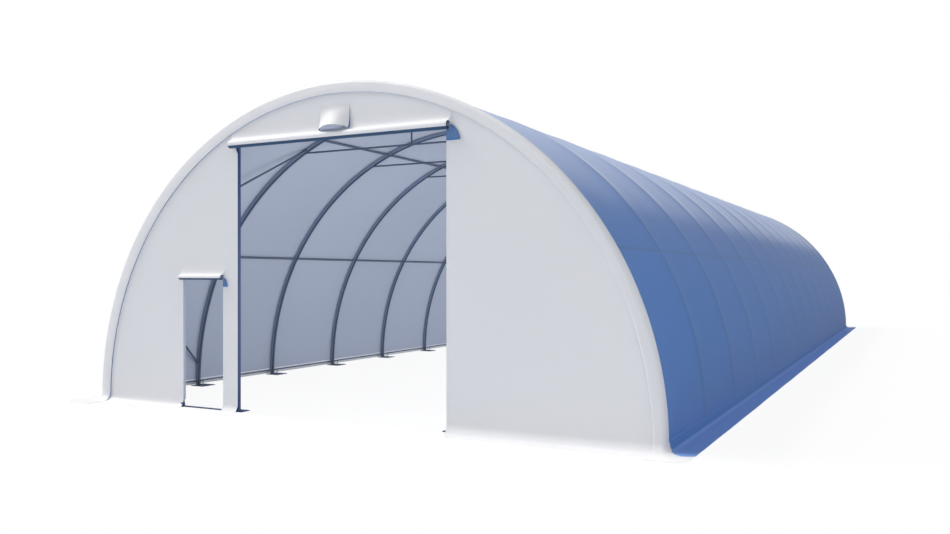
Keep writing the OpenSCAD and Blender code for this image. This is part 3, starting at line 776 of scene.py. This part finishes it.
def make_roll(name, node, roll, turns):
    """A curtain wound on its tube: one long sheet in an even spiral with its blue reverse outwards, darkened as painted
    shade under the roll, and its face pale blue as painted shade between the turns.
    """
    per_turn = 24
    outer, inner = roll.radius - 1.5 * MM, TUBE_R + 0.5 * MM
    middle = (roll.start + roll.end) / 2
    rows = []
    for t in (0, 0.004, 0.02, 0.25, 0.5, 0.75, 0.98, 0.996, 1):
        row, length = [], 0.0
        for k in range(turns * per_turn + 1):
            a = math.pi / 2 + 2 * math.pi * k / per_turn
            r = outer + (inner - outer) * k / (turns * per_turn)
            # The ends of the turns lie a few millimetres in and out of line.
            stray = 3 * MM * math.sin(0.31 * a) + 1.2 * MM * math.sin(1.7 * a)
            x = roll.start + (roll.end - roll.start) * t + (stray - 4 * MM) * (2 * t - 1)
            length += 2 * math.pi * r / per_turn
            row.append((x, roll.y - r * math.cos(a), roll.z + r * math.sin(a), x, length))
        rows.append(row)
    piece = make_sheet(name, rows, [ROLL_BLUE_WITH_SHADE, ROLL_FACE_SHADE], [node],
                       away_from=(middle, roll.y, roll.z), thickness=1.1 * MM)


make_over_flap("large_curtain_over_flap", large_roll, -24)
make_over_flap("small_curtain_over_flap", small_roll, -18)
make_roll("large_curtain_roll", "large_curtain", large_roll, 16)
make_roll("small_curtain_roll", "small_curtain", small_roll, 11)

# -------- corner flaps and vent hood

# How full the round of a corner flap is: 2 would be an ellipse.
EAR_ROUND = 1.75


def make_ear(name, roll, tall, width, bottom, replaced):
    """The blue corner turned out beside the top of a doorway, hemmed along its round and lower edges."""
    hem = 14 * MM
    under_roll = roll.z - 0.64 * roll.radius
    clear = roll.end + 8 * MM - roll.right
    round_top = tall * (1 - ((clear + hem + 4 * MM) / width) ** EAR_ROUND) ** (1 / EAR_ROUND)
    top = min(bottom + round_top, roll.top - 22 * MM)
    heights = [bottom, bottom + hem] + steps(bottom + hem, under_roll, 8)[1:] + steps(under_roll + 1 * MM, top, 6)
    rows = []
    for z in heights:
        v = z - bottom
        left = 0.0 if z <= under_roll else clear
        right = width * max(0.0, 1 - (v / tall) ** EAR_ROUND) ** (1 / EAR_ROUND)
        row = []
        for x in steps(left, right - hem, 7) + [right]:
            curl = 12 * MM * ease((x + 0.3 * (tall - v)) / tall) ** 2
            row.append((roll.right + x, gable_y - 5 * MM - curl, z, x, v))
        rows.append(row)
    # Its hems take the darker hem blue, painted shade.
    piece = make_sheet(name, rows, [BLUE_EAR, WHITE_SHEET, BLUE_HEM_SHADE, WHITE_SHEET], replaced,
                       zone=lambda i, j: int(i == 0 or j == 7), away_from=(roll.right, 0, roll.z),
                       thickness=1.5 * MM)


make_ear("large_corner_flap", large_roll, 228 * MM, 205 * MM, large_roll.z - 190 * MM, ["curtain_corner_flaps"])
make_ear("small_corner_flap", small_roll, 140 * MM, 100 * MM, small_roll.z - 140 * MM, [])


def make_hood():
    """The vent's hood: flat on the gable at its head, and bowed out at its open lower edge, which is cut in an arc.
    A narrow blue gusset at each side is painted shade for the shadowed gap beside the hood."""
    # How far the lower edge bows and stands out, how high its arc is, and how far the hood sits to the right.
    bulge, stand, arc, aside = 118 * MM, 34 * MM, 46 * MM, 26 * MM
    tall = hood_high.z - hood_low.z
    across = steps(0, 1, 28)
    rows = []
    for down in steps(0, 1, 14):
        row = []
        for t in across:
            # Towards its lower edge the hood drifts to the right, its left side more than its right one.
            x = hood_low.x + aside + (hood_high.x - hood_low.x) * t + (19 - 8 * t) * MM * down
            rise = arc * math.sin(math.pi * t) ** 0.6 * down ** 2
            z = hood_high.z - tall * down + rise
            flat = gable_y - gable_forward(x, z) - slack(x, z) - 2.5 * MM
            out = stand * down ** 1.2
            point = (x, flat - bulge * math.sin(math.pi * t) * down ** 1.2 - out, z, x, tall * down)
            if t == 0:
                row.append((x, flat, z, x - out, tall * down))
            row.append(point)
            if t == 1:
                row.append((x, flat, z, x + out, tall * down))
        rows.append(row)
    # The side gussets take the blue reverse: painted shade in the gap beside the hood.
    piece = make_sheet("vent_hood_sheet", rows, [HOOD_WHITE_SHADED, BLUE_REVERSE, BLUE_REVERSE, BLUE_REVERSE],
                       ["vent_hood"], zone=lambda i, j: int(j in (0, len(across))),
                       away_from=((hood_low.x + hood_high.x) / 2, 0, 2), thickness=1.5 * MM)


make_hood()

# -------- small steel parts


def finish_piece(piece, name, material):
    """Names a finished steel piece, rides it on the building and smooths all but its sharp edges."""
    piece.name = name
    piece.data.name = name
    piece.data.materials.clear()
    piece.data.materials.append(material)
    select_alone(piece)
    bpy.ops.object.transform_apply(location=True, rotation=True, scale=True)
    bpy.ops.object.shade_smooth_by_angle(angle=math.radians(35))
    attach(piece, "root")
    return piece


def edit_faces(piece, direction):
    """Goes into edit mode with only the faces selected that face a direction."""
    bpy.ops.object.mode_set(mode="EDIT")
    bpy.ops.mesh.select_mode(type="FACE")
    bpy.ops.mesh.select_all(action="DESELECT")
    mesh = bmesh.from_edit_mesh(piece.data)
    for face in mesh.faces:
        face.select = face.normal.dot(Vector(direction)) > 0.9
    mesh.select_flush_mode()
    bmesh.update_edit_mesh(piece.data)


def cylinder(vertices, radius, depth, z):
    """An upright cylinder with its middle at a height, selected alone."""
    deselect()
    bpy.ops.mesh.primitive_cylinder_add(vertices=vertices, radius=radius, depth=depth, location=(0, 0, z))
    return bpy.context.active_object


def make_peg():
    """A ground peg through a base plate: a bar with a broad flat head and a chamfered top."""
    bar_r, bar_length, bar_middle, bar_top = 8 * MM, 78 * MM, 49 * MM, 88 * MM
    peg = cylinder(12, bar_r, bar_length, bar_middle)
    edit_faces(peg, (0, 0, 1))
    bpy.ops.mesh.extrude_region_move()
    bpy.ops.transform.resize(value=(1.9, 1.9, 1), center_override=(0, 0, bar_top))
    bpy.ops.mesh.extrude_region_move(TRANSFORM_OT_translate={"value": (0, 0, 9 * MM)})
    bpy.ops.mesh.extrude_region_move(TRANSFORM_OT_translate={"value": (0, 0, 3 * MM)})
    bpy.ops.transform.resize(value=(0.8, 0.8, 1), center_override=(0, 0, 100 * MM))
    bpy.ops.object.mode_set(mode="OBJECT")
    bpy.ops.object.transform_apply(location=True, rotation=True, scale=True)
    return peg


def copies(source, places, name, material):
    """One object with a copy of the source's mesh at each place, given as matrices."""
    build = bmesh.new()
    for place in places:
        part = source.data.copy()
        part.transform(place)
        build.from_mesh(part)
        bpy.data.meshes.remove(part)
    mesh = bpy.data.meshes.new(name)
    build.to_mesh(mesh)
    build.free()
    piece = add_object(name, mesh)
    bpy.data.objects.remove(source)
    return finish_piece(piece, name, material)


# A plate's middle is this far inside the arch's outer face, and its holes this far from its middle. The plates
# of the end arches are shifted into the hall.
plate_x = arch_box[1].x - 150 * MM
hole = 105 * MM
END_SHIFT = 122.5 * MM
peg_places = []
for index, y in enumerate(arch_y):
    middle = y + (END_SHIFT if index == 0 else -END_SHIFT if index == len(arch_y) - 1 else 0)
    for side in (1, -1):
        peg_places.append(Matrix.Translation((side * (plate_x - hole), middle - hole, 0)))
copies(make_peg(), peg_places, "ground_pegs", ZINC)


def make_bolt_head():
    """A hexagon head on its washer, with the head's corners chamfered."""
    washer = cylinder(12, 12 * MM, 3 * MM, 1.5 * MM)
    head = cylinder(6, 9.5 * MM, 8 * MM, 7 * MM)
    edit_faces(head, (0, 0, 1))
    bpy.ops.mesh.inset(thickness=1.6 * MM, depth=1.2 * MM)
    bpy.ops.object.mode_set(mode="OBJECT")
    select_alone(washer)
    head.select_set(True)
    bpy.ops.object.join()
    bpy.ops.object.transform_apply(location=True, rotation=True, scale=True)
    return washer


# A bolt on each side of every joint between an arch's eight lengths, on its front and on its back.
LENGTH_ANGLE = 180 / 8
BOLT_ANGLE = 1.1
arch_mid = (arch_box[1].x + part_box("king_posts")[1].z - leg_h) / 2
bolt_places = []
for y in arch_y:
    for joint in range(1, 8):
        for offset in (-BOLT_ANGLE, BOLT_ANGLE):
            a = math.radians(LENGTH_ANGLE * joint + offset)
            for facing in (1, -1):
                turn = Matrix.Rotation(-facing * math.pi / 2, 4, "X")
                at = Vector((arch_mid * math.cos(a), y + facing * arch_half_w, leg_h + arch_mid * math.sin(a)))
                bolt_places.append(Matrix.Translation(at) @ turn)
copies(make_bolt_head(), bolt_places, "arch_joint_bolts", ZINC)


def make_bracket():
    """The bracket that holds the ground bar's left end to the small doorway's upright."""
    deselect()
    bpy.ops.mesh.primitive_cube_add(size=1, location=(small_left - 12 * MM, gable_y + 2 * MM, 38 * MM))
    bracket = bpy.context.active_object
    bracket.scale = (58 * MM, 34 * MM, 70 * MM)
    bpy.ops.object.transform_apply(location=False, rotation=False, scale=True)
    edit_faces(bracket, (0, -1, 0))
    bpy.ops.mesh.inset(thickness=12 * MM, depth=9 * MM)
    bpy.ops.object.mode_set(mode="OBJECT")
    rounding = bracket.modifiers.new("rounding", "BEVEL")
    rounding.width, rounding.segments = 5 * MM, 3
    bpy.ops.object.modifier_apply(modifier="rounding")
    return finish_piece(bracket, "ground_bar_bracket", POST_STEEL)


make_bracket()


def make_plug(name, x, facing, roll):
    """A domed plug in the end of a curtain tube."""
    plug = cylinder(24, TUBE_R - 2.7 * MM, 20 * MM, -9 * MM)
    edit_faces(plug, (0, 0, 1))
    bpy.ops.mesh.inset(thickness=3 * MM, depth=2 * MM)
    bpy.ops.mesh.inset(thickness=4 * MM, depth=1 * MM)
    bpy.ops.object.mode_set(mode="OBJECT")
    bpy.ops.object.transform_apply(location=True, rotation=True, scale=True)
    plug.data.transform(Matrix.Translation((x, roll.y, roll.z)) @ Matrix.Rotation(facing * math.pi / 2, 4, "Y"))
    return finish_piece(plug, name, PLUG_PLASTIC)


for roll_name, roll in (("large", large_roll), ("small", small_roll)):
    make_plug(roll_name + "_roll_plug_left", roll.start, -1, roll)
    make_plug(roll_name + "_roll_plug_right", roll.end, 1, roll)

# -------- finishes of the steel frame


def finish_of(name):
    """The finish of a piece of the steel frame."""
    if name in ("door_posts", "small_door_frame", "ground_bar", "rear_gable_posts"):
        return POST_STEEL
    if name == "curtain_tubes":
        return ZINC
    if name.endswith("_arch") or name.startswith("arch_"):
        return ARCH_STEEL
    return FRAME_STEEL


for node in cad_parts.values():
    node.data.materials.clear()
    node.data.materials.append(finish_of(node.name))

# -------- studio

bpy.ops.mesh.primitive_plane_add(size=400, location=(0, 0, -0.001))
floor = bpy.context.active_object
floor.name = "floor"
floor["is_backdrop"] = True
floor.visible_glossy = False
floor_material, floor_tree, floor_shader = new_material("pale_studio_floor")
floor_shader.inputs["Base Color"].default_value = linear("#E2E6EE")
floor_shader.inputs["Roughness"].default_value = 0.9
seen = add_node(floor_tree, "ShaderNodeLightPath")
glow = add_node(floor_tree, "ShaderNodeEmission", inputs={"Color": (1, 1, 1, 1), "Strength": 1.0})
# Mostly the plain white of the background, with a little of the lit floor so that the shadow shows.
share = add_node(floor_tree, "ShaderNodeMath", {"operation": "MULTIPLY"}, {1: 0.92}, {0: (seen, "Is Camera Ray")})
blend = add_node(floor_tree, "ShaderNodeMixShader",
                 links={0: (share, "Value"), 1: (floor_shader, "BSDF"), 2: (glow, "Emission")})
floor_tree.links.new(blend.outputs["Shader"], floor_tree.nodes["Material Output"].inputs["Surface"])
floor.data.materials.append(floor_material)

world = bpy.data.worlds.new("studio")
bpy.context.scene.world = world
world.use_nodes = True
world_tree = world.node_tree
world_shader = world_tree.nodes["Background"]
world_shader.inputs["Color"].default_value = (0.955, 0.96, 1.0, 1.0)
# The sky is dim low down behind the building, so that the roof's sheen comes from its own light.
sky = add_node(world_tree, "ShaderNodeTexCoord")
along = add_node(world_tree, "ShaderNodeSeparateXYZ", links={"Vector": (sky, "Generated")})
dim = add_node(world_tree, "ShaderNodeMapRange", {"interpolation_type": "SMOOTHSTEP"},
               {"From Min": 0.8, "From Max": 0.97, "To Min": 0.375, "To Max": 0.11}, {"Value": (along, "Y")})
world_tree.links.new(dim.outputs["Result"], world_shader.inputs["Strength"])
backdrop = add_node(world_tree, "ShaderNodeBackground", inputs={"Color": (1, 1, 1, 1), "Strength": 1.0})
path = add_node(world_tree, "ShaderNodeLightPath")
world_mix = add_node(world_tree, "ShaderNodeMixShader",
                     links={0: (path, "Is Camera Ray"), 1: (world_shader, "Background"), 2: (backdrop, "Background")})
world_tree.links.new(world_mix.outputs["Shader"], world_tree.nodes["World Output"].inputs["Surface"])

# The key from high on the left, a narrow lamp square to the building that lights the roof and not its right wall,
# a fill from the right, and a broad low light from behind for the sheen on the roof.
for name, energy, width, colour, travel in (
        ("key", 2.05, 25, (1.0, 0.985, 0.95), (0.715, 0.16, -0.68)),
        ("roof", 1.45, 5, (1.0, 0.95, 0.84), (0.616, 0.004, -0.788)),
        ("fill", 0.65, 60, (0.95, 0.97, 1.0), (-0.6, 0.12, -0.79)),
        ("sheen", 0.3, 40, (1.0, 0.96, 0.86), (0.36, -0.933, -0.01))):
    sun_data = bpy.data.lights.new(name, "SUN")
    sun_data.energy = energy
    sun_data.color = colour
    sun_data.angle = math.radians(width)
    sun = add_object(name, sun_data)
    sun.rotation_euler = Vector(travel).to_track_quat("-Z", "Y").to_euler()

# Soft lamps in the hall: one behind the other, facing its rear, the first one the strongest, and a long one facing
# its left wall. Each is (place, tilt and swing, length, height, energy).
lamp_rows = (-12.9, -9.2, -5.2, -1.2, 2.8, 6.8, 10.2)
hall_lamps = [((0, y, 1.7), (90, 0), 6.4, 2.6, 50 if y == lamp_rows[0] else 14) for y in lamp_rows]
hall_lamps.append(((2.9, 0, 1.55), (90, 90), 25.6, 2.6, 570))
for number, (place, (tilt, swing), long, high, energy) in enumerate(hall_lamps):
    lamp_data = bpy.data.lights.new(f"hall_lamp_{number}", "AREA")
    lamp_data.shape, lamp_data.size, lamp_data.size_y = "RECTANGLE", long, high
    lamp_data.energy = energy
    lamp = add_object(f"hall_lamp_{number}", lamp_data)
    lamp.location = place
    lamp.rotation_euler = (math.radians(tilt), 0, math.radians(swing))
    lamp.visible_camera = False

bpy.context.scene.view_settings.view_transform = "Standard"

low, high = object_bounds()
